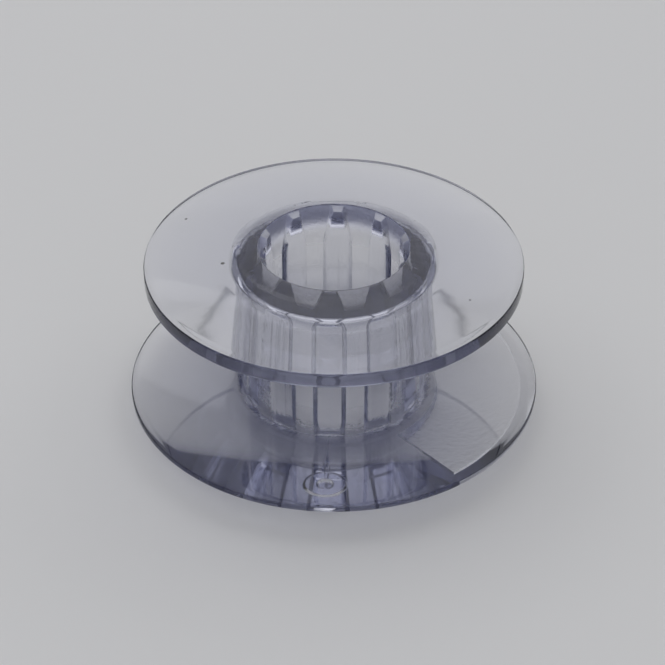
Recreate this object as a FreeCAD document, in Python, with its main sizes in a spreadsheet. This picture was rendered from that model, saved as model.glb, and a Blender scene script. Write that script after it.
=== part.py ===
"""A drop-in sewing machine bobbin: one clear plastic moulding, built as one parametric body.

The bobbin stands on the end of its hub, with the hub's axis on +Z and the larger flange below.
All sizes are in millimetres, and the driving ones are cells of the sheet "dims".
"""
import FreeCAD, Part
import os
import Sketcher

NODE = "bobbin"

DIMENSIONS = {
    # Overall form
    "overall_height": 10.28,
    "lower_flange_diameter": 22.2,
    "upper_flange_diameter": 20.2,
    # The outer face of each flange is domed: these are the rises from its rim to the hub's end
    "lower_dome_rise": 1.28,
    "upper_dome_rise": 0.9,
    "lower_rim_thickness": 0.35,
    "upper_rim_thickness": 0.8,
    "rim_edge_break": 0.08,
    # Hub
    "hub_diameter": 9.7,
    "hub_fillet": 0.7,
    "bore_diameter": 8.1,
    "end_land_width": 0.35,
    # Teeth that the winder's spindle drives
    "tooth_count": 10,
    "tooth_depth": 0.32,
    "tooth_tip_width": 1.3,
    "tooth_root_width": 1.58,
    "tooth_lead_height": 2.2,
    "tooth_lead_narrowing": 0.8,
    "tooth_end_gap": 0.1,
    "tooth_top_drop": 0.2,
    # Plain panel sunk into the underside of the lower flange
    "panel_inner_radius": 5.6,
    "panel_outer_radius": 10.2,
    "panel_depth": 0.12,
    "panel_floor_slope": 8.0,
    "panel_angle": 78.0,
    "panel_bearing": -10.0,
    # Gate where the plastic entered the mould: a shallow dimple with the broken-off nub in it
    "gate_radius": 8.8,
    "gate_dimple_diameter": 2.2,
    "gate_dimple_depth": 0.1,
    "gate_nub_diameter": 0.8,
    "gate_nub_height": 0.18,
}


def make_sheet(doc):
    """Put every driving dimension into a sheet cell with its name as alias."""
    sheet = doc.addObject("Spreadsheet::Sheet", "dims")
    for row, (alias, value) in enumerate(DIMENSIONS.items(), start=1):
        sheet.set(f"A{row}", alias)
        sheet.set(f"B{row}", str(value))
        sheet.setAlias(f"B{row}", alias)
    doc.recompute()
    return sheet


def origin_plane(body, role):
    return next(item for item in body.Origin.OriginFeatures if item.Role == role)


def new_sketch(body, name, role):
    sketch = body.newObject("Sketcher::SketchObject", name)
    sketch.AttachmentSupport = (origin_plane(body, role), [""])
    sketch.MapMode = "FlatFace"
    return sketch


def bind(sketch, kind, name, expression, *references):
    """Add a dimension to a sketch and tie it to an expression of the sheet's cells."""
    value = sketch.evalExpression(expression)
    index = sketch.addConstraint(Sketcher.Constraint(kind, *references, float(value)))
    sketch.renameConstraint(index, name)
    sketch.setExpression(f"Constraints.{name}", expression)


def place_point(sketch, name, geometry, point, x_expression, y_expression):
    """Fix one end of an edge by its distances from the sketch's origin."""
    for axis, expression in (("X", x_expression), ("Y", y_expression)):
        value = float(sketch.evalExpression(expression))
        if abs(value) < 1e-9:
            axis_line = -2 if axis == "X" else -1
            sketch.addConstraint(Sketcher.Constraint("PointOnObject", geometry, point, axis_line))
        else:
            bind(sketch, f"Distance{axis}", f"{name}_{axis.lower()}", expression, -1, 1, geometry, point)


def closed_outline(sketch, corners, arcs=None):
    """Draw a closed outline through named corners, each given by two expressions.

    arcs names the edges, by their first corner, that are arcs about a point on the sketch's vertical axis.
    """
    arcs = arcs or {}
    names = list(corners)
    points = {
        name: FreeCAD.Vector(float(sketch.evalExpression(x)), float(sketch.evalExpression(y)), 0)
        for name, (x, y) in corners.items()
    }
    edges = []
    for name, following in zip(names, names[1:] + names[:1]):
        start, end = points[name], points[following]
        if name in arcs:
            edges.append(dome_arc(start, end))
        else:
            edges.append(Part.LineSegment(start, end))
    first = sketch.GeometryCount
    sketch.addGeometry(edges, False)
    starts = {}
    for offset, name in enumerate(names):
        starts[name] = (first + offset, arcs.get(name, 1))
    for offset, name in enumerate(names):
        following = names[(offset + 1) % len(names)]
        end_point = 3 - arcs.get(name, 1)
        sketch.addConstraint(
            Sketcher.Constraint("Coincident", first + offset, end_point, *starts[following])
        )
        if name in arcs:
            sketch.addConstraint(Sketcher.Constraint("PointOnObject", first + offset, 3, -2))
    for name, (x, y) in corners.items():
        place_point(sketch, name, *starts[name], x, y)


def dome_arc(start, end):
    """The arc from start to end whose centre is on the vertical axis."""
    rise = end.y - start.y
    centre_height = (end.x ** 2 - start.x ** 2 + end.y ** 2 - start.y ** 2) / (2 * rise)
    centre = FreeCAD.Vector(0, centre_height, 0)
    radius = centre.distanceToPoint(start)
    middle = centre + ((start + end) * 0.5 - centre).normalize() * radius
    return Part.Arc(start, middle, end)


def circular_edges(shape, radius, height):
    """Names of the full circles about Z with a given radius and height."""
    names = []
    for number, edge in enumerate(shape.Edges, start=1):
        if not isinstance(edge.Curve, Part.Circle):
            continue
        centre = edge.Curve.Center
        on_axis = abs(centre.x) + abs(centre.y) < 1e-6
        if on_axis and abs(edge.Curve.Radius - radius) < 1e-6 and abs(centre.z - height) < 1e-6:
            names.append(f"Edge{number}")
    if not names:
        raise RuntimeError(f"no circular edge of radius {radius} at height {height}")
    return names


def add_fillet(body, name, base, edge_names, radius_expression):
    fillet = body.newObject("PartDesign::Fillet", name)
    fillet.Base = (base, edge_names)
    fillet.setExpression("Radius", radius_expression)
    body.Document.recompute()
    return fillet


def turned_form(body, sheet):
    """Revolve the section of flanges and hub, then round the hub's inner corners."""
    bore = "dims.bore_diameter / 2"
    land = "dims.bore_diameter / 2 + dims.end_land_width"
    hub = "dims.hub_diameter / 2"
    lower = "dims.lower_flange_diameter / 2"
    upper = "dims.upper_flange_diameter / 2"
    edge_break = "dims.rim_edge_break"
    top = "dims.overall_height"
    lower_face = "dims.lower_dome_rise + dims.lower_rim_thickness"
    upper_rim = "dims.overall_height - dims.upper_dome_rise"
    upper_face = f"{upper_rim} - dims.upper_rim_thickness"

    sketch = new_sketch(body, "section", "XZ_Plane")
    closed_outline(sketch, {
        "foot_inner": (bore, "0"),
        "foot_outer": (land, "0"),
        "lower_dome_end": (f"{lower} - {edge_break}", "dims.lower_dome_rise"),
        "lower_rim_foot": (lower, f"dims.lower_dome_rise + {edge_break}"),
        "lower_rim_head": (lower, f"{lower_face} - {edge_break}"),
        "lower_face_end": (f"{lower} - {edge_break}", lower_face),
        "hub_low": (hub, lower_face),
        "hub_high": (hub, upper_face),
        "upper_face_end": (f"{upper} - {edge_break}", upper_face),
        "upper_rim_foot": (upper, f"{upper_face} + {edge_break}"),
        "upper_rim_head": (upper, f"{upper_rim} - {edge_break}"),
        "upper_dome_end": (f"{upper} - {edge_break}", upper_rim),
        "top_outer": (land, top),
        "top_inner": (bore, top),
    }, arcs={"foot_outer": 1, "upper_dome_end": 1})
    turned = body.newObject("PartDesign::Revolution", "turned_form")
    turned.Profile = sketch
    turned.ReferenceAxis = (sketch, ["V_Axis"])
    turned.Angle = 360
    body.Document.recompute()

    hub_edges = []
    for height in (lower_face, upper_face):
        hub_edges += circular_edges(turned.Shape, number(sheet, hub), number(sheet, height))
    return add_fillet(body, "hub_fillets", turned, hub_edges, "dims.hub_fillet")


def number(sheet, expression):
    """The value of an expression of the sheet's cells."""
    return float(sheet.evalExpression(expression))


def tooth_outline(body, name, narrowing, height):
    """One tooth's cross-section, at the front of the bore and rooted in the hub's wall."""
    tip = "dims.bore_diameter / 2 - dims.tooth_depth"
    rooted = "(dims.bore_diameter + dims.hub_diameter) / 4"
    flank = "(dims.tooth_root_width - dims.tooth_tip_width) / (2 * dims.tooth_depth)"
    half_tip = f"dims.tooth_tip_width / 2 - {narrowing} / 2"
    half_root = f"{half_tip} + {flank} * ({rooted} - ({tip}))"
    sketch = new_sketch(body, name, "XY_Plane")
    sketch.setExpression("AttachmentOffset.Base.z", height)
    closed_outline(sketch, {
        "tip_left": (f"-({half_tip})", f"-({tip})"),
        "root_left": (f"-({half_root})", f"-({rooted})"),
        "root_right": (half_root, f"-({rooted})"),
        "tip_right": (half_tip, f"-({tip})"),
    })
    return sketch


def teeth(body):
    """Ring of full-length teeth, each narrowing towards the mouth so that the spindle finds its way in."""
    lead_start = "dims.overall_height - dims.tooth_end_gap - dims.tooth_lead_height"
    lead_end = "dims.overall_height - dims.tooth_end_gap"
    foot = tooth_outline(body, "tooth_section", "0", "dims.tooth_end_gap")
    shank = body.newObject("PartDesign::Pad", "tooth_shank")
    shank.Profile = foot
    shank.setExpression("Length", f"{lead_start} - dims.tooth_end_gap")
    body.Document.recompute()

    lead_foot = tooth_outline(body, "lead_start_section", "0", lead_start)
    lead_tip = tooth_outline(body, "lead_end_section", "dims.tooth_lead_narrowing", lead_end)
    lead = body.newObject("PartDesign::AdditiveLoft", "tooth_lead")
    lead.Profile = lead_foot
    lead.Sections = [lead_tip]
    lead.Ruled = True
    body.Document.recompute()

    ring = body.newObject("PartDesign::PolarPattern", "tooth_ring")
    ring.Originals = [shank, lead]
    ring.Axis = (foot, ["N_Axis"])
    ring.Angle = 360
    ring.setExpression("Occurrences", "dims.tooth_count")
    body.Tip = ring
    body.Document.recompute()
    return ring


def slope_tooth_tops(body):
    """Cut the upper ends of the teeth to a cone that falls towards the middle of the bore."""
    wall = "dims.bore_diameter / 2"
    inner = f"{wall} - 2 * dims.tooth_depth"
    top = "dims.overall_height - dims.tooth_end_gap"
    sketch = new_sketch(body, "tooth_top_section", "XZ_Plane")
    closed_outline(sketch, {
        "wall": (wall, top),
        "inner_high": (inner, top),
        "inner_low": (inner, f"{top} - 2 * dims.tooth_top_drop"),
    })
    groove = body.newObject("PartDesign::Groove", "tooth_tops")
    groove.Profile = sketch
    groove.ReferenceAxis = (sketch, ["V_Axis"])
    groove.Angle = 360
    body.Document.recompute()
    return groove


def lower_dome():
    """Expressions for the height of the lower dome's centre, which is on the axis, and for its radius."""
    land = "(dims.bore_diameter / 2 + dims.end_land_width)"
    rim = "(dims.lower_flange_diameter / 2 - dims.rim_edge_break)"
    rise = "dims.lower_dome_rise"
    centre = f"(({rim} ^ 2 - {land} ^ 2 + {rise} ^ 2) / (2 * {rise}))"
    return centre, f"sqrt({centre} ^ 2 + {land} ^ 2)"


def lower_dome_height(radius):
    """Expression for the height of the lower dome's surface at a radius."""
    centre, dome_radius = lower_dome()
    return f"{centre} - sqrt({dome_radius} ^ 2 - ({radius}) ^ 2)"


def panel(body):
    """Sink a plain sector into the underside of the lower flange, with a shallow conical floor."""
    outer_floor = f"{lower_dome_height('dims.panel_outer_radius')} + dims.panel_depth"
    run = "(dims.panel_outer_radius - dims.panel_inner_radius)"
    inner_floor = f"{outer_floor} - {run} * tan(dims.panel_floor_slope * 1deg)"
    sketch = new_sketch(body, "panel_section", "XZ_Plane")
    sketch.AttachmentOffset = FreeCAD.Placement(
        FreeCAD.Vector(), FreeCAD.Rotation(FreeCAD.Vector(0, 1, 0), 1)
    )
    sketch.setExpression("AttachmentOffset.Rotation.Angle", "dims.panel_bearing * 1deg")
    closed_outline(sketch, {
        "outer_low": ("dims.panel_outer_radius", "0"),
        "outer_high": ("dims.panel_outer_radius", outer_floor),
        "inner_high": ("dims.panel_inner_radius", inner_floor),
        "inner_low": ("dims.panel_inner_radius", "0"),
    })
    groove = body.newObject("PartDesign::Groove", "panel")
    groove.Profile = sketch
    groove.ReferenceAxis = (sketch, ["V_Axis"])
    groove.Midplane = True
    groove.setExpression("Angle", "dims.panel_angle * 1deg")
    body.Document.recompute()
    return groove


def gate_circle(body, name, diameter, lift):
    """A circle about the gate, parallel to the lower dome there and lifted into the flange."""
    _centre, dome_radius = lower_dome()
    lean = f"asin(dims.gate_radius / {dome_radius})"
    height = lower_dome_height("dims.gate_radius")
    sketch = new_sketch(body, name, "XY_Plane")
    sketch.AttachmentOffset = FreeCAD.Placement(
        FreeCAD.Vector(), FreeCAD.Rotation(FreeCAD.Vector(-1, 0, 0), 1)
    )
    sketch.setExpression("AttachmentOffset.Rotation.Angle", lean)
    sketch.setExpression("AttachmentOffset.Base.y", f"{lift} * sin({lean}) - dims.gate_radius")
    sketch.setExpression("AttachmentOffset.Base.z", f"{height} + {lift} * cos({lean})")
    circle = Part.Circle(FreeCAD.Vector(), FreeCAD.Vector(0, 0, 1), number(sketch, diameter) / 2)
    index = sketch.addGeometry(circle, False)
    place_point(sketch, "centre", index, 3, "0", "0")
    bind(sketch, "Diameter", "size", diameter, index)
    return sketch


def gate(body):
    """Cut the gate's dimple into the underside and leave the broken-off nub standing in it."""
    dimple = body.newObject("PartDesign::Pocket", "gate_dimple")
    dimple.Profile = gate_circle(body, "dimple_circle", "dims.gate_dimple_diameter", "0")
    dimple.Reversed = True
    dimple.setExpression("Length", "dims.gate_dimple_depth")
    body.Document.recompute()

    nub = body.newObject("PartDesign::Pad", "gate_nub")
    nub.Profile = gate_circle(body, "nub_circle", "dims.gate_nub_diameter", "dims.gate_dimple_depth")
    nub.Reversed = True
    nub.setExpression("Length", "dims.gate_nub_height")
    body.Document.recompute()
    return dimple, nub


def check_cut(before, after, name):
    if after.Shape.Volume >= before.Shape.Volume:
        raise RuntimeError(f"{name} removed nothing")


def check_document(doc, body):
    """Stop if any feature failed or the body is not one valid solid."""
    for item in doc.Objects:
        if "Invalid" in item.State or "Error" in item.State:
            raise RuntimeError(f"{item.Name} failed: {item.State}")
    shape = body.Shape
    if shape.isNull() or not shape.isValid() or len(shape.Solids) != 1:
        raise RuntimeError(f"{body.Label} is not one valid solid")


def main():
    doc = FreeCAD.newDocument("sewing_bobbin")
    sheet = make_sheet(doc)
    body = doc.addObject("PartDesign::Body", NODE)
    body.Label = NODE
    turned_form(body, sheet)
    ring = teeth(body)
    sloped = slope_tooth_tops(body)
    check_cut(ring, sloped, "sloping the teeth's upper ends")
    sunk = panel(body)
    check_cut(sloped, sunk, "panel")
    dimple, _nub = gate(body)
    check_cut(sunk, dimple, "gate dimple")
    doc.recompute()
    check_document(doc, body)

    os.makedirs("parts", exist_ok=True)
    body.Shape.exportStep(f"parts/{body.Label}.step")
    print(f"{body.Label}: volume {body.Shape.Volume:.1f} mm3, box {body.Shape.BoundBox}")


main()
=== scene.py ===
"""Looks of a clear moulded sewing machine bobbin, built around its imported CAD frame."""
import math

import bmesh
import bpy
from bpy.props import FloatProperty, FloatVectorProperty, IntProperty, PointerProperty
from mathutils import Matrix, Vector


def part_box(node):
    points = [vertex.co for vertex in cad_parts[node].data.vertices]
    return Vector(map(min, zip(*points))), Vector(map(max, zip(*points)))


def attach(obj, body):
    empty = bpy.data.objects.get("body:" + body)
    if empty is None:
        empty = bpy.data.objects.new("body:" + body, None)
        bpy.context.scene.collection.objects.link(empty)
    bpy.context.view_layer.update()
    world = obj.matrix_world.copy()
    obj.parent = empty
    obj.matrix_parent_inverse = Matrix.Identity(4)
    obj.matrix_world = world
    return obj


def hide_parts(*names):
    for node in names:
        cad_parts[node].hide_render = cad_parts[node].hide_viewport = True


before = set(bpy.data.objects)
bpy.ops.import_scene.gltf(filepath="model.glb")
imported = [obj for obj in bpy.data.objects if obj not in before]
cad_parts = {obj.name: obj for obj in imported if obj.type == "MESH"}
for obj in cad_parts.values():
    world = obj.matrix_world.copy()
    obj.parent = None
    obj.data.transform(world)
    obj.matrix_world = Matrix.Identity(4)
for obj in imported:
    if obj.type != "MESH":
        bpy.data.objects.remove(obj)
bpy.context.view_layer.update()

bl_info = {
    "name": "Clear sewing bobbin",
    "version": (1, 0, 0),
    "blender": (4, 5, 0),
    "location": "View3D > Sidebar > Bobbin",
    "description": "Builds a clear moulded bobbin with a toothed hub, and a plain studio for it",
    "category": "Add Mesh",
}

FRAME_LOW, FRAME_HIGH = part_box("bobbin")
MM = 0.001
NEAR = 0.01 * MM
COLUMNS = 360
GATE_BEARING = math.radians(-90)
# Dust on the upper flange: middle and radius of each speck, in mm
SPECKS = (
    ((-5.76, -1.64, 10.10), 0.14),
    ((-8.18, 3.10, 9.65), 0.10),
    ((-4.94, -0.45, 10.22), 0.07),
    ((7.24, -3.79, 9.76), 0.07),
)


def linear(hex_colour):
    """Linear red, green and blue of an sRGB hex colour."""
    channels = [int(hex_colour[i:i + 2], 16) / 255 for i in (0, 2, 4)]
    return tuple(c / 12.92 if c <= 0.04045 else ((c + 0.055) / 1.055) ** 2.4 for c in channels)


def length(name, description, millimetres):
    """A size property, stored in metres."""
    return FloatProperty(name=name, description=description, default=millimetres * MM,
                         min=0.0, precision=5, unit="LENGTH")


def tint(name, description, hex_colour):
    """A colour property."""
    return FloatVectorProperty(name=name, description=description, default=linear(hex_colour),
                               min=0.0, max=1.0, size=3, subtype="COLOR")


class BobbinSizes(bpy.types.PropertyGroup):
    """Sizes of the moulding."""

    overall_height: length("Height", "Over both ends of the hub", (FRAME_HIGH.z - FRAME_LOW.z) / MM)
    lower_radius: length("Lower flange radius", "Outside radius of the larger flange",
                         min(*FRAME_HIGH.xy, *-FRAME_LOW.xy) / MM)
    upper_radius: length("Upper flange radius", "Outside radius of the smaller flange", 10.1)
    lower_rise: length("Lower dome rise", "From the hub's foot up to the lower rim", 1.28)
    upper_rise: length("Upper dome rise", "From the upper rim up to the hub's end", 0.9)
    lower_rim: length("Lower rim thickness", "Thickness of the larger flange at its rim", 0.35)
    upper_rim: length("Upper rim thickness", "Thickness of the smaller flange at its rim", 0.8)
    rim_round: length("Rim round", "Radius on the edges of the rims", 0.08)
    hub_radius: length("Hub radius", "Outside radius of the hub", 4.85)
    hub_fillet: length("Hub fillet", "Radius where the hub meets the flanges", 0.7)
    bore_radius: length("Bore radius", "Inside radius of the hub between its teeth", 4.05)
    end_land: length("End land", "Width of the flat ring at each end of the hub", 0.35)
    tooth_count: IntProperty(name="Teeth", description="Number of teeth in the bore", default=10, min=3)
    tooth_depth: length("Tooth depth", "How far the teeth stand into the bore", 0.32)
    tooth_tip: length("Tooth tip width", "Width of a tooth at its tip", 1.3)
    tooth_root: length("Tooth root width", "Width of a tooth where it leaves the wall", 1.58)
    lead_height: length("Lead height", "Height over which the teeth narrow towards the top", 2.2)
    lead_narrowing: length("Lead narrowing", "How much narrower the teeth are at the top", 0.8)
    tooth_gap: length("Tooth end gap", "From the ends of the teeth to the ends of the hub", 0.1)
    top_drop: length("Tooth top drop", "How far the top of a tooth falls from the wall to its tip", 0.2)
    panel_inner: length("Panel inner radius", "Where the sunk panel starts", 5.6)
    panel_outer: length("Panel outer radius", "Where the sunk panel ends", 10.2)
    panel_depth: length("Panel depth", "Depth of the panel at its outer edge", 0.12)
    panel_slope: FloatProperty(name="Panel slope", description="Slope of the panel's floor",
                               default=math.radians(8), subtype="ANGLE")
    panel_angle: FloatProperty(name="Panel angle", description="Angle that the panel takes up",
                               default=math.radians(78), subtype="ANGLE")
    panel_bearing: FloatProperty(name="Panel bearing", description="Bearing of the panel's middle",
                                 default=math.radians(-10), subtype="ANGLE")
    gate_radius: length("Gate radius", "From the axis to the gate", 8.8)
    gate_dimple: length("Gate dimple", "Diameter of the dimple round the gate", 2.2)
    gate_depth: length("Gate depth", "Depth of the dimple", 0.1)
    gate_nub: length("Gate nub", "Diameter of the broken-off nub", 0.8)
    gate_nub_height: length("Nub height", "Height of the nub in its dimple", 0.18)
    split_line_height: length("Split line height", "Height of the mould's split line", 0.02)
    split_line_width: length("Split line width", "Width of the mould's split line", 0.1)


class PlasticLook(bpy.types.PropertyGroup):
    """Colour and clarity of the plastic."""

    depth_colour: tint("Depth colour", "What light keeps on its way through", "CFD1DF")
    depth_density: FloatProperty(name="Depth density", default=450.0, min=0.0,
                                 description="How fast the plastic takes up light, per metre")
    speck_colour: tint("Speck colour", "Colour of the dust on the plastic", "3A3834")


class StudioLook(bpy.types.PropertyGroup):
    """Floor and light of the studio."""

    floor_colour: tint("Floor colour", "Colour of the table top", "E7E7E7")
    room_colour: tint("Room colour", "Light from the dim room round the table", "74757B")
    overhead: FloatProperty(name="Overhead light", description="Brightness of the soft light above",
                            default=0.27, min=0.0)
    key: FloatProperty(name="Key light", description="Brightness of the soft light behind on the left",
                       default=0.45, min=0.0)
    front: FloatProperty(name="Front light", description="Brightness of the soft light by the camera",
                         default=0.35, min=0.0)
    back_wall: FloatProperty(name="Back wall", description="Brightness of the pale wall behind",
                             default=0.95, min=0.0)


def polar(point):
    """Radius and bearing of a point about the bobbin's axis."""
    return math.hypot(point.x, point.y), math.atan2(point.y, point.x)


def turn_from(bearing, middle):
    """Signed angle from one bearing to another, within half a turn."""
    return (bearing - middle + math.pi) % math.tau - math.pi


def set_polar(vert, radius, bearing):
    """Move a vertex to a radius and bearing, at its own height."""
    vert.co.x = radius * math.cos(bearing)
    vert.co.y = radius * math.sin(bearing)


def ease(share):
    """Smooth step from 0 to 1."""
    share = max(0.0, min(1.0, share))
    return share * share * (3 - 2 * share)


class Levels:
    """Heights and dome circles that follow from the sizes."""

    def __init__(self, sizes):
        self.top = sizes.overall_height
        self.land = sizes.bore_radius + sizes.end_land
        self.lower_edge = sizes.lower_rise
        self.lower_face = sizes.lower_rise + sizes.lower_rim
        self.upper_edge = sizes.overall_height - sizes.upper_rise
        self.upper_face = self.upper_edge - sizes.upper_rim
        self.teeth_top = sizes.overall_height - sizes.tooth_gap
        self.lead_start = self.teeth_top - sizes.lead_height
        lower_end = sizes.lower_radius - sizes.rim_round
        upper_end = sizes.upper_radius - sizes.rim_round
        self.lower_centre = self.dome_centre(self.land, 0.0, lower_end, self.lower_edge)
        self.upper_centre = self.dome_centre(self.land, self.top, upper_end, self.upper_edge)
        self.lower_dome = math.hypot(self.land, self.lower_centre)

    @staticmethod
    def dome_centre(r0, z0, r1, z1):
        """Height on the axis of the centre of the arc through two points of a dome."""
        return (r1 ** 2 - r0 ** 2 + z1 ** 2 - z0 ** 2) / (2 * (z1 - z0))

    def under_dome(self, radius):
        """Height of the lower dome's surface at a radius."""
        return self.lower_centre - math.sqrt(self.lower_dome ** 2 - radius ** 2)


def sweep_dome(bm, start, centre, end_radius, steps):
    """Carry a vertex along a dome's arc to another radius and give the last vertex."""
    arc_radius = math.hypot(start.co.x, start.co.z - centre)
    angle = abs(math.asin(end_radius / arc_radius) - math.asin(start.co.x / arc_radius))
    swept = bmesh.ops.spin(bm, geom=[start], cent=(0, 0, centre), axis=(0, 1, 0), angle=angle, steps=steps)
    return swept["geom_last"][0]


def draw_section(bm, sizes, at):
    """Draw half of the moulding's section as a closed wire in the XZ plane."""
    last_run = 0.35 * MM
    longest = 0.5 * MM
    upper_steps = 34
    edge_steps, panel_steps, land_steps = 4, 30, 8
    rim_segments, fillet_segments = 5, 12

    def corner(radius, height):
        return bm.verts.new((radius, 0, height))

    bore_line = [corner(sizes.bore_radius, z) for z in (
        0, sizes.tooth_gap, at.lead_start, at.teeth_top, at.top)]
    top_land = corner(at.land, at.top)
    dome_end = sweep_dome(bm, top_land, at.upper_centre, sizes.upper_radius - last_run, upper_steps)
    between = [
        corner(sizes.upper_radius, at.upper_edge),
        corner(sizes.upper_radius, at.upper_face),
        corner(sizes.hub_radius, at.upper_face),
        corner(sizes.hub_radius, at.lower_face),
        corner(sizes.lower_radius, at.lower_face),
        corner(sizes.lower_radius, at.lower_edge),
    ]
    under_start = corner(sizes.lower_radius - last_run, at.under_dome(sizes.lower_radius - last_run))
    under = under_start
    under_runs = ((sizes.panel_outer, edge_steps), (sizes.panel_inner, panel_steps), (at.land, land_steps))
    for radius, steps in under_runs:
        under = sweep_dome(bm, under, at.lower_centre, radius, steps)

    for line in (bore_line + [top_land], [dome_end] + between + [under_start], [under, bore_line[0]]):
        for first, second in zip(line, line[1:]):
            bm.edges.new((first, second))

    rounds = (
        (between[:2] + between[4:], sizes.rim_round, rim_segments),
        (between[2:4], sizes.hub_fillet, fillet_segments),
    )
    for verts, radius, segments in rounds:
        bmesh.ops.bevel(bm, geom=verts, offset=radius, offset_type="OFFSET", segments=segments, profile=0.5,
                        affect="VERTICES", material=-1)
    for edge in [e for e in bm.edges if e.calc_length() > longest]:
        bmesh.ops.subdivide_edges(bm, edges=[edge], cuts=int(edge.calc_length() / longest))


def turn_moulding(bm):
    """Turn the section once round the axis."""
    bmesh.ops.spin(bm, geom=bm.verts[:] + bm.edges[:], cent=(0, 0, 0), axis=(0, 0, 1),
                   angle=math.tau, steps=COLUMNS, use_merge=True)
    bmesh.ops.remove_doubles(bm, verts=bm.verts[:], dist=MM * 1e-4)
    bmesh.ops.recalc_face_normals(bm, faces=bm.faces[:])


def bore_satin(height, on_tip, at):
    """How matt the bore is at a height, from 0 to 1.

    The wall is frosted at its foot and at its mouth. The tips of the teeth are clearer, up to their tops.
    """
    frost_full, frost_end = 1.8 * MM, 3.2 * MM
    lead_blend, tip_blend = 0.5 * MM, 1.6 * MM
    middle, tip_foot, tip_top = 0.3, 0.3, 0.8
    foot = tip_foot if on_tip else 1.0
    mouth = tip_top * ease((height - at.teeth_top) / tip_blend + 1) if on_tip else 1.0
    low = 1 - ease((height - frost_full) / (frost_end - frost_full))
    high = ease((height - at.lead_start) / lead_blend + 0.5)
    return foot * low + middle * (1 - low) * (1 - high) + mouth * high


def raise_teeth(bm, sizes, at, satin):
    """Extrude the teeth out of the bore's wall, narrow them towards the top and frost the bore."""
    pitch = math.tau / sizes.tooth_count
    span = math.radians(round(math.degrees(sizes.tooth_root / 2 / sizes.bore_radius)))
    tip_plane = sizes.bore_radius - sizes.tooth_depth
    edge_start, edge_drop = 0.8, 0.25 * sizes.tooth_depth

    def offset(bearing):
        """Angle from the nearest tooth's middle."""
        return turn_from(bearing, GATE_BEARING + round(turn_from(bearing, GATE_BEARING) / pitch) * pitch)

    def wall_face(face):
        return all(abs(polar(v.co)[0] - sizes.bore_radius) < NEAR for v in face.verts)

    wall = [f for f in bm.faces if wall_face(f)]
    wall_verts = {v for f in wall for v in f.verts}
    toothed = []
    for face in wall:
        middle = face.calc_center_median()
        if sizes.tooth_gap < middle.z < at.teeth_top and abs(offset(polar(middle)[1])) < span:
            toothed.append(face)
    lifted = bmesh.ops.extrude_face_region(bm, geom=toothed)
    bmesh.ops.delete(bm, geom=toothed, context="FACES")
    tips = {v for v in lifted["geom"] if isinstance(v, bmesh.types.BMVert)}

    for vert in wall_verts | tips:
        if not vert.is_valid:
            continue
        bearing = polar(vert.co)[1]
        turn = offset(bearing)
        lead_share = max(0.0, min(1.0, (vert.co.z - at.lead_start) / sizes.lead_height))
        narrowing = sizes.lead_narrowing * lead_share
        root = math.asin((sizes.tooth_root - narrowing) / 2 / sizes.bore_radius)
        tip = math.atan((sizes.tooth_tip - narrowing) / 2 / tip_plane)
        if vert in tips:
            moved = turn * tip / span
            rounding = max(0.0, abs(turn) / span - edge_start) / (1 - edge_start)
            plane = tip_plane + edge_drop * rounding ** 2
            set_polar(vert, plane / math.cos(moved), bearing - turn + moved)
            if vert.co.z > at.teeth_top - NEAR:
                vert.co.z -= sizes.top_drop
        elif abs(turn) <= span + NEAR / sizes.bore_radius:
            set_polar(vert, sizes.bore_radius, bearing - turn + turn * root / span)
        else:
            share = (abs(turn) - span) / (pitch / 2 - span)
            moved = math.copysign(root + share * (pitch / 2 - root), turn)
            set_polar(vert, sizes.bore_radius, bearing - turn + moved)

        if NEAR < vert.co.z < at.top - NEAR:
            vert[satin] = bore_satin(vert.co.z, vert in tips, at)


def under_faces(bm, at):
    """Faces of the lower flange's domed underside."""
    facing_down = -0.9
    found = []
    for face in bm.faces:
        middle = face.calc_center_median()
        if face.normal.z < facing_down and at.land < polar(middle)[0] and middle.z < at.lower_edge:
            found.append(face)
    return found


def sink_panel(bm, sizes, at, satin):
    """Sink the plain panel into the lower flange's underside."""
    region = []
    for face in under_faces(bm, at):
        radius, bearing = polar(face.calc_center_median())
        in_sector = abs(turn_from(bearing, sizes.panel_bearing)) < sizes.panel_angle / 2
        if in_sector and sizes.panel_inner < radius < sizes.panel_outer:
            region.append(face)
    sunk = bmesh.ops.extrude_face_region(bm, geom=region)
    bmesh.ops.delete(bm, geom=region, context="FACES")
    panel_satin = 0.2
    outer_floor = at.under_dome(sizes.panel_outer) + sizes.panel_depth
    for item in sunk["geom"]:
        if isinstance(item, bmesh.types.BMVert):
            item.co.z = outer_floor - (sizes.panel_outer - polar(item.co)[0]) * math.tan(sizes.panel_slope)
            item[satin] = panel_satin


def mark_gate(bm, sizes, at):
    """Work the gate's dimple and its broken-off nub into the lower flange's underside."""
    gate = Vector((math.cos(GATE_BEARING), math.sin(GATE_BEARING), 0)) * sizes.gate_radius
    soft = 0.12 * MM
    reach = sizes.gate_dimple / 2 + 2 * soft

    def from_gate(point):
        return math.hypot(point.x - gate.x, point.y - gate.y)

    patch = [f for f in under_faces(bm, at) if from_gate(f.calc_center_median()) < reach]
    edges = {e for f in patch for e in f.edges}
    bmesh.ops.subdivide_edges(bm, edges=list(edges), cuts=3, use_grid_fill=True)
    for face in under_faces(bm, at):
        if from_gate(face.calc_center_median()) > reach + soft:
            continue
        for vert in face.verts:
            away = from_gate(vert.co)
            dimple = sizes.gate_depth * ease((sizes.gate_dimple / 2 - away) / soft + 0.5)
            nub = sizes.gate_nub_height * ease((sizes.gate_nub / 2 - away) / soft + 0.5)
            vert.co.z = at.under_dome(polar(vert.co)[0]) + dimple - nub


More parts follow.
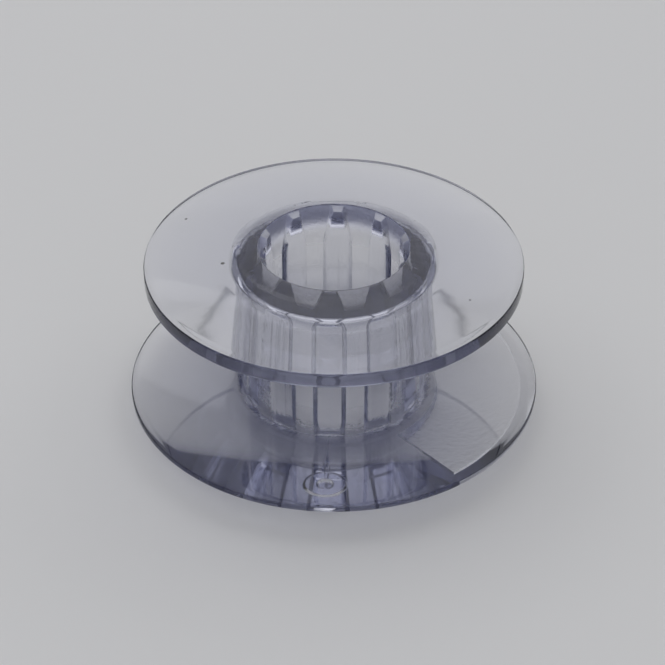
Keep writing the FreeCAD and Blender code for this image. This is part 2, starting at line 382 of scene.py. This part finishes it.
def raise_split_line(bm, sizes, at):
    """Leave the fine ridge where the mould's two side halves met, in front and behind."""
    bm.normal_update()
    column = math.tau / COLUMNS
    on_line, beside_line = column / 4, column * 1.25
    fade_start, fade_end = sizes.gate_radius - sizes.gate_dimple / 2, sizes.gate_radius
    for vert in bm.verts:
        radius, bearing = polar(vert.co)
        between = at.lower_face - NEAR < vert.co.z < at.upper_face - sizes.hub_fillet
        if not between or radius < sizes.hub_radius - NEAR:
            continue
        turn = turn_from(bearing * 2, GATE_BEARING * 2) / 2
        if abs(turn) < on_line:
            fade = ease((fade_end - radius) / (fade_end - fade_start))
            vert.co += vert.normal * sizes.split_line_height * fade
        elif abs(turn) < beside_line:
            moved = math.copysign(sizes.split_line_width / 2 / radius, turn)
            set_polar(vert, radius, bearing - turn + moved)


def shade_edges(bm, sharp_angle):
    """Smooth the faces, and keep the edges sharp where the form turns a corner."""
    for face in bm.faces:
        face.smooth = True
    for edge in bm.edges:
        edge.smooth = not edge.is_manifold or edge.calc_face_angle() < sharp_angle


def add_node(tree, kind, inputs=None, **settings):
    """Add a shader node with its settings, and set or link its inputs."""
    node = tree.nodes.new(kind)
    for name, value in settings.items():
        setattr(node, name, value)
    for key, value in (inputs or {}).items():
        if isinstance(value, bpy.types.NodeSocket):
            tree.links.new(value, node.inputs[key])
        else:
            node.inputs[key].default_value = value
    return node


def new_material(name):
    """An empty node material and its tree."""
    material = bpy.data.materials.new(name)
    material.use_nodes = True
    material.node_tree.nodes.clear()
    return material, material.node_tree


def draw_lines(tree, place):
    """Height of the lines that the mould left along the hub and its bore as the moulding was drawn out."""
    # Real draw lines are finer: these are as coarse as they need to be to show
    line_width, wall_radius = 0.5 * MM, 4.4 * MM
    lines_fade, lines_end = 5.0 * MM, 5.4 * MM
    flat = add_node(tree, "ShaderNodeVectorMath", {0: place, 1: (1, 1, 0)}, operation="MULTIPLY").outputs[0]
    radius = add_node(tree, "ShaderNodeVectorMath", {0: flat}, operation="LENGTH").outputs["Value"]
    bearing = add_node(tree, "ShaderNodeVectorMath", {0: flat}, operation="NORMALIZE").outputs[0]
    lines = add_node(tree, "ShaderNodeTexNoise", {
        "Vector": bearing, "Scale": wall_radius / line_width, "Detail": 2.0}).outputs[0]
    on_hub = add_node(tree, "ShaderNodeMapRange", {
        "Value": radius, "From Min": lines_fade, "From Max": lines_end, "To Min": 1.0, "To Max": 0.0},
        interpolation_type="SMOOTHSTEP").outputs[0]
    return add_node(tree, "ShaderNodeMath", {0: lines, 1: on_hub}, operation="MULTIPLY").outputs[0]


def dust(tree, place):
    """1 where a speck of dust lies on the upper flange, 0 elsewhere."""
    solid_share = 0.6
    cover = 0.0
    for middle, radius in SPECKS:
        middle = tuple(c * MM for c in middle)
        radius *= MM
        away = add_node(tree, "ShaderNodeVectorMath", {
            0: place, 1: middle}, operation="DISTANCE").outputs["Value"]
        speck = add_node(tree, "ShaderNodeMapRange", {
            "Value": away, "From Min": solid_share * radius, "From Max": radius,
            "To Min": 1.0, "To Max": 0.0}, interpolation_type="SMOOTHSTEP").outputs[0]
        cover = add_node(tree, "ShaderNodeMath", {0: cover, 1: speck}, operation="MAXIMUM").outputs[0]
    return cover


def clear_styrene(look):
    """Clear general-purpose styrene, injection moulded in a polished steel mould.

    The mould's polish gives sharp reflections and a clear view through, with a faint ripple. The hub and its
    bore were drawn off their steel along the axis, which left fine lines in that direction. The sunk panel,
    the bore's foot and the gaps at its mouth keep the satin and the fine pits of a spark-eroded mould. The
    plastic is slightly smoky and violet, which shows where light runs a long way through it.
    """
    line_depth, ripple_depth, pit_depth = 0.04 * MM, 0.004 * MM, 0.05 * MM
    # Real pits are finer: this grit is as coarse as it needs to be to show
    ripple_width, grit_width = 2.5 * MM, 0.3 * MM
    grit_low, grit_high = 0.3, 0.7
    polished, satin_low, satin_high = 0.03, 0.50, 0.56
    refraction = 1.59
    material, tree = new_material("clear_styrene")
    place = add_node(tree, "ShaderNodeTexCoord").outputs["Object"]

    satin = add_node(tree, "ShaderNodeAttribute", attribute_name="satin").outputs["Fac"]
    grit = add_node(tree, "ShaderNodeTexNoise", {
        "Vector": place, "Scale": 1 / grit_width, "Detail": 2.0}).outputs[0]
    satin_level = add_node(tree, "ShaderNodeMapRange", {
        "Value": grit, "From Min": grit_low, "From Max": grit_high,
        "To Min": satin_low, "To Max": satin_high}).outputs[0]
    roughness = add_node(tree, "ShaderNodeMix", {
        "Factor": satin, "A": polished, "B": satin_level}, data_type="FLOAT").outputs["Result"]

    ripple = add_node(tree, "ShaderNodeTexNoise", {
        "Vector": place, "Scale": 1 / ripple_width, "Detail": 1.0}).outputs[0]
    pits = add_node(tree, "ShaderNodeMath", {0: grit, 1: satin}, operation="MULTIPLY").outputs[0]
    lined = add_node(tree, "ShaderNodeBump", {
        "Height": draw_lines(tree, place), "Strength": 1.0, "Distance": line_depth}).outputs[0]
    rippled = add_node(tree, "ShaderNodeBump", {
        "Height": ripple, "Strength": 1.0, "Distance": ripple_depth, "Normal": lined}).outputs[0]
    pitted = add_node(tree, "ShaderNodeBump", {
        "Height": pits, "Strength": 1.0, "Distance": pit_depth, "Normal": rippled}).outputs[0]

    colour = add_node(tree, "ShaderNodeMix", {
        "Factor": dust(tree, place), "A": (1, 1, 1, 1), "B": (*look.speck_colour, 1)},
        data_type="RGBA").outputs[2]
    shader = add_node(tree, "ShaderNodeBsdfPrincipled", {
        "Base Color": colour, "Roughness": roughness, "IOR": refraction, "Transmission Weight": 1.0,
        "Normal": pitted})
    depth = add_node(tree, "ShaderNodeVolumeAbsorption", {
        "Color": (*look.depth_colour, 1), "Density": look.depth_density})
    add_node(tree, "ShaderNodeOutputMaterial", {"Surface": shader.outputs[0], "Volume": depth.outputs[0]})
    return material


def table_top(studio):
    """Pale laminate table top, pressed smooth and matt, with a faint grain in its sheen."""
    material, tree = new_material("pale_laminate")
    place = add_node(tree, "ShaderNodeTexCoord").outputs["Object"]
    grain_width = 1.5 * MM
    smoothest, roughest = 0.8, 0.95
    grain = add_node(tree, "ShaderNodeTexNoise", {"Vector": place, "Scale": 1 / grain_width}).outputs[0]
    roughness = add_node(tree, "ShaderNodeMapRange", {
        "Value": grain, "To Min": smoothest, "To Max": roughest}).outputs[0]
    shader = add_node(tree, "ShaderNodeBsdfPrincipled", {
        "Base Color": (*studio.floor_colour, 1), "Roughness": roughness})
    add_node(tree, "ShaderNodeOutputMaterial", {"Surface": shader.outputs[0]})
    return material


class BOBBIN_OT_moulding(bpy.types.Operator):
    """Build the bobbin's moulding and give it its plastic"""

    bl_idname = "bobbin.moulding"
    bl_label = "Bobbin moulding"

    def execute(self, context):
        sizes = context.scene.bobbin_sizes
        at = Levels(sizes)
        bm = bmesh.new()
        draw_section(bm, sizes, at)
        turn_moulding(bm)
        satin = bm.verts.layers.float.new("satin")
        raise_teeth(bm, sizes, at, satin)
        sink_panel(bm, sizes, at, satin)
        mark_gate(bm, sizes, at)
        raise_split_line(bm, sizes, at)
        bmesh.ops.recalc_face_normals(bm, faces=bm.faces[:])
        shade_edges(bm, sharp_angle=math.radians(28))
        open_edges = [e for e in bm.edges if not e.is_manifold]
        if open_edges:
            raise RuntimeError(f"the moulding has {len(open_edges)} open edges")
        mesh = bpy.data.meshes.new("bobbin_moulding")
        bm.to_mesh(mesh)
        bm.free()
        mesh.materials.append(clear_styrene(context.scene.bobbin_plastic))
        moulding = bpy.data.objects.new("bobbin_moulding", mesh)
        context.scene.collection.objects.link(moulding)
        evened = moulding.modifiers.new("even_normals", "WEIGHTED_NORMAL")
        evened.keep_sharp = True
        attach(moulding, "root")
        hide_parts("bobbin")
        return {"FINISHED"}


def flat_panel(name, width, depth, material):
    """A rectangle at the origin, facing up."""
    bm = bmesh.new()
    bmesh.ops.create_grid(bm, x_segments=1, y_segments=1, size=0.5)
    bmesh.ops.scale(bm, vec=(width, depth, 1), verts=bm.verts[:])
    mesh = bpy.data.meshes.new(name)
    bm.to_mesh(mesh)
    bm.free()
    mesh.materials.append(material)
    panel = bpy.data.objects.new(name, mesh)
    bpy.context.scene.collection.objects.link(panel)
    return panel


def soft_light(name, brightness, width, height, place, through=True):
    """A soft rectangular lamp of even brightness, aimed at the bobbin's foot.

    With through off, its light isn't seen through the plastic and leaves the table under it in shade.
    """
    lamp = bpy.data.lights.new(name, "AREA")
    lamp.shape = "RECTANGLE"
    lamp.size, lamp.size_y = width, height
    lamp.energy = brightness * math.pi * width * height
    holder = bpy.data.objects.new(name, lamp)
    holder.location = place
    holder.rotation_euler = (-place).to_track_quat("-Z", "Y").to_euler()
    holder.visible_camera = False
    holder.visible_transmission = through
    bpy.context.scene.collection.objects.link(holder)


def room_light(studio):
    """The dim room round the table, with a soft bright wall behind the bobbin."""
    world = bpy.data.worlds.new("room")
    world.use_nodes = True
    tree = world.node_tree
    tree.nodes.clear()
    way = add_node(tree, "ShaderNodeTexCoord").outputs["Generated"]
    bearing, height = math.radians(68), math.radians(36)
    full_within, gone_beyond = math.radians(8), math.radians(60)
    wall = (math.cos(height) * math.cos(bearing), math.cos(height) * math.sin(bearing), math.sin(height))
    toward = add_node(tree, "ShaderNodeVectorMath", {
        0: way, 1: wall}, operation="DOT_PRODUCT").outputs["Value"]
    spread = add_node(tree, "ShaderNodeMapRange", {
        "Value": toward, "From Min": math.cos(gone_beyond), "From Max": math.cos(full_within)},
        interpolation_type="SMOOTHSTEP").outputs[0]
    wall_light = (studio.back_wall, studio.back_wall, studio.back_wall, 1)
    colour = add_node(tree, "ShaderNodeMix", {
        "Factor": spread, "A": (*studio.room_colour, 1), "B": wall_light}, data_type="RGBA")
    shader = add_node(tree, "ShaderNodeBackground", {"Color": colour.outputs[2]})
    add_node(tree, "ShaderNodeOutputWorld", {"Surface": shader.outputs[0]})
    return world


class BOBBIN_OT_studio(bpy.types.Operator):
    """Set up the table, the lights and the camera"""

    bl_idname = "bobbin.studio"
    bl_label = "Studio"

    def execute(self, context):
        scene = context.scene
        studio = scene.bobbin_studio
        view_turn = math.radians(3)
        turn = Matrix.Rotation(view_turn, 4, "Z")
        floor_width = 4
        floor_gap = 0.02 * MM

        floor = flat_panel("table_top", floor_width, floor_width, table_top(studio))
        floor.location.z = -floor_gap

        scene.world = room_light(studio)
        soft_light("overhead", studio.overhead, width=1.4, height=1.4, place=turn @ Vector((0, 0, 0.75)))
        soft_light("key", studio.key, width=0.8, height=0.8, place=turn @ Vector((-0.40, 0.25, 0.55)),
                   through=False)
        soft_light("front", studio.front, width=0.9, height=0.35, place=turn @ Vector((0, -0.5, 0.30)))
        self.place_camera(scene, turn)
        scene.view_settings.view_transform = "Standard"
        # Light turns many times inside clear plastic before it leaves, and a short path would end in black
        scene.cycles.max_bounces = 40
        scene.cycles.transmission_bounces = 40
        scene.cycles.glossy_bounces = 16
        # Little blurring, so that light still reaches the table under the plastic
        scene.cycles.blur_glossy = 0.2
        return {"FINISHED"}

    def place_camera(self, scene, turn):
        """Stand the camera where the photo was taken from."""
        image_width, focal_pixels = 665, 2500
        sensor_width = 36
        distance, elevation = 137.57 * MM, math.radians(37.48)
        aim_height = scene.bobbin_sizes.lower_rise
        aim_x, aim_y = 333.86, 381.15
        centre = image_width / 2
        swing = math.atan((aim_x - centre) / focal_pixels)
        nod = math.atan((aim_y - centre) / focal_pixels)
        stand = Matrix.Rotation(math.pi / 2 - elevation, 4, "X")
        back = stand @ Vector((0, 0, 1))
        place = stand @ Matrix.Rotation(swing, 4, "Y") @ Matrix.Rotation(nod, 4, "X")
        place.translation = back * distance + Vector((0, 0, aim_height))
        lens = bpy.data.cameras.new("camera")
        lens.sensor_width = sensor_width
        lens.lens = focal_pixels / image_width * sensor_width
        lens.clip_start = 0.001
        camera = bpy.data.objects.new("camera", lens)
        camera.matrix_world = turn @ place
        scene.collection.objects.link(camera)
        scene.camera = camera


class BOBBIN_PT_sidebar(bpy.types.Panel):
    """Sizes, looks and build buttons"""

    bl_idname = "BOBBIN_PT_sidebar"
    bl_label = "Clear sewing bobbin"
    bl_space_type = "VIEW_3D"
    bl_region_type = "UI"
    bl_category = "Bobbin"

    def draw(self, context):
        for operator in (BOBBIN_OT_moulding, BOBBIN_OT_studio):
            self.layout.operator(operator.bl_idname)
        for group in (context.scene.bobbin_sizes, context.scene.bobbin_plastic, context.scene.bobbin_studio):
            box = self.layout.box()
            for name in group.__annotations__:
                box.prop(group, name)


CLASSES = (BobbinSizes, PlasticLook, StudioLook, BOBBIN_OT_moulding, BOBBIN_OT_studio, BOBBIN_PT_sidebar)


def register():
    for item in CLASSES:
        bpy.utils.register_class(item)
    bpy.types.Scene.bobbin_sizes = PointerProperty(type=BobbinSizes)
    bpy.types.Scene.bobbin_plastic = PointerProperty(type=PlasticLook)
    bpy.types.Scene.bobbin_studio = PointerProperty(type=StudioLook)


def unregister():
    del bpy.types.Scene.bobbin_studio
    del bpy.types.Scene.bobbin_plastic
    del bpy.types.Scene.bobbin_sizes
    for item in reversed(CLASSES):
        bpy.utils.unregister_class(item)


def main():
    register()
    bpy.ops.bobbin.moulding()
    bpy.ops.bobbin.studio()


if __name__ == "__main__":
    main()
